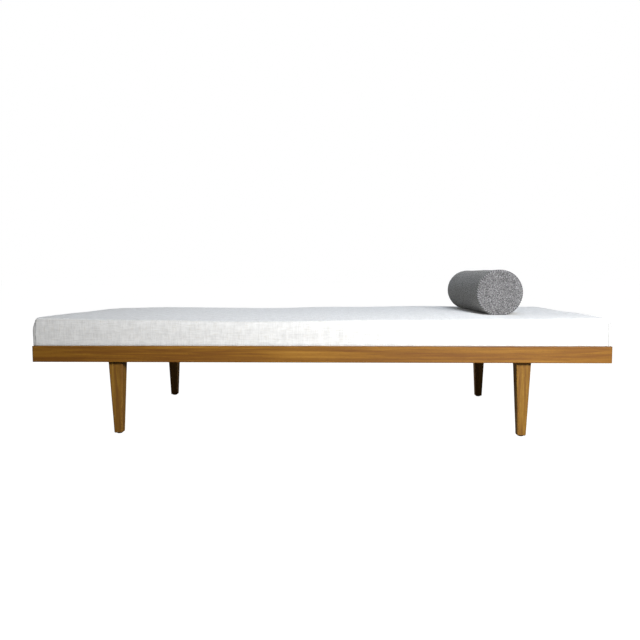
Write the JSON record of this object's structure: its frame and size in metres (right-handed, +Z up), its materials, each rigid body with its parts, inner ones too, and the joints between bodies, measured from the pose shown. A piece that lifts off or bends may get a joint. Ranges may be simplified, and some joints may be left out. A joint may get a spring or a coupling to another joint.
{
  "type": "daybed",
  "caption": "Low oak daybed: a slatted frame on tapered legs carries a lift-off zipped foam mattress and a loose round bolster.",
  "frame": {"origin": "on the floor under the middle of the oak frame", "axes": "+X along the length towards the bolster's end, -Y is the open front, +Z up"},
  "size_m": [1.95, 0.8, 0.5666],
  "materials": {
    "oiled_oak": "satin oil",
    "pine": "planed, raw",
    "beech": "planed, raw",
    "glide_plastic": "matte",
    "zinc_steel": "zinc plated",
    "insert_brass": "turned",
    "foam": "open-cell foam",
    "ecru_linen": "slubbed plain weave",
    "ecru_tape": "woven tape",
    "ecru_coil": "nylon coil",
    "grey_wool": "melange boucle",
    "grey_tape": "woven tape",
    "grey_coil": "nylon coil",
    "zip_metal": "nickel plated"
  },
  "bodies": {
    "frame": {"front_rail": "oiled_oak", "back_rail": "oiled_oak", "left_rail": "oiled_oak", "right_rail": "oiled_oak", "corner_splines": "beech", "corner_block_front_left": "beech", "corner_block_front_right": "beech", "corner_block_back_left": "beech", "corner_block_back_right": "beech", "front_ledger": "pine", "back_ledger": "pine", "left_leg_bearer": "oiled_oak", "right_leg_bearer": "oiled_oak", "leg_front_left": "oiled_oak", "leg_front_right": "oiled_oak", "leg_back_left": "oiled_oak", "leg_back_right": "oiled_oak", "glide_front_left": "glide_plastic", "glide_front_right": "glide_plastic", "glide_back_left": "glide_plastic", "glide_back_right": "glide_plastic", "leg_bolts": "zinc_steel", "leg_washers": "zinc_steel", "leg_inserts": "insert_brass", "leg_dowels": "beech", "slat_01": "pine", "slat_02": "pine", "slat_03": "pine", "slat_04": "pine", "slat_05": "pine", "slat_06": "pine", "slat_07": "pine", "slat_08": "pine", "slat_09": "pine", "slat_10": "pine", "slat_11": "pine", "slat_12": "pine", "slat_13": "pine", "slat_14": "pine", "slat_screws": "zinc_steel", "ledger_screws": "zinc_steel", "bearer_screws": "zinc_steel", "corner_block_screws": "zinc_steel"},
    "mattress": {"mattress_core": "foam", "mattress_cover": "ecru_linen", "mattress_zip_tape": "ecru_tape", "mattress_zip_coil": "ecru_coil"},
    "mattress_zip_slider": {"mattress_zip_slider": "zip_metal"},
    "mattress_zip_pull": {"mattress_zip_pull": "zip_metal"},
    "bolster": {"bolster_core": "foam", "bolster_cover": "grey_wool", "bolster_cap_front": "grey_wool", "bolster_cap_back": "grey_wool", "bolster_zip_tape": "grey_tape", "bolster_zip_coil": "grey_coil"},
    "bolster_zip_slider": {"bolster_zip_slider": "zip_metal"},
    "bolster_zip_pull": {"bolster_zip_pull": "zip_metal"}
  },
  "joints": [
    {"name": "mattress_lift", "type": "slide", "parent": "frame", "child": "mattress", "axis": [0, 0, 1], "range_m": [0, 0.25]},
    {"name": "bolster_lift", "type": "slide", "parent": "mattress", "child": "bolster", "axis": [0, 0, 1], "range_m": [0, 0.25]},
    {"name": "mattress_zip", "type": "slide", "parent": "mattress", "child": "mattress_zip_slider", "axis": [-1, 0, 0], "range_m": [0, 1.702]},
    {"name": "mattress_pull_swing", "type": "hinge", "parent": "mattress_zip_slider", "child": "mattress_zip_pull", "pos_m": [0.8499, 0.3989, 0.3563], "axis": [0, 0, -1], "range_deg": [0, 165]},
    {"name": "bolster_zip", "type": "slide", "parent": "bolster", "child": "bolster_zip_slider", "axis": [0.0471, -0.9989, 0], "range_m": [0, 0.398]},
    {"name": "bolster_pull_swing", "type": "hinge", "parent": "bolster_zip_slider", "child": "bolster_zip_pull", "pos_m": [0.71848, 0.26077, 0.4826], "axis": [0, 0, 1], "range_deg": [0, 165]}
  ]
}
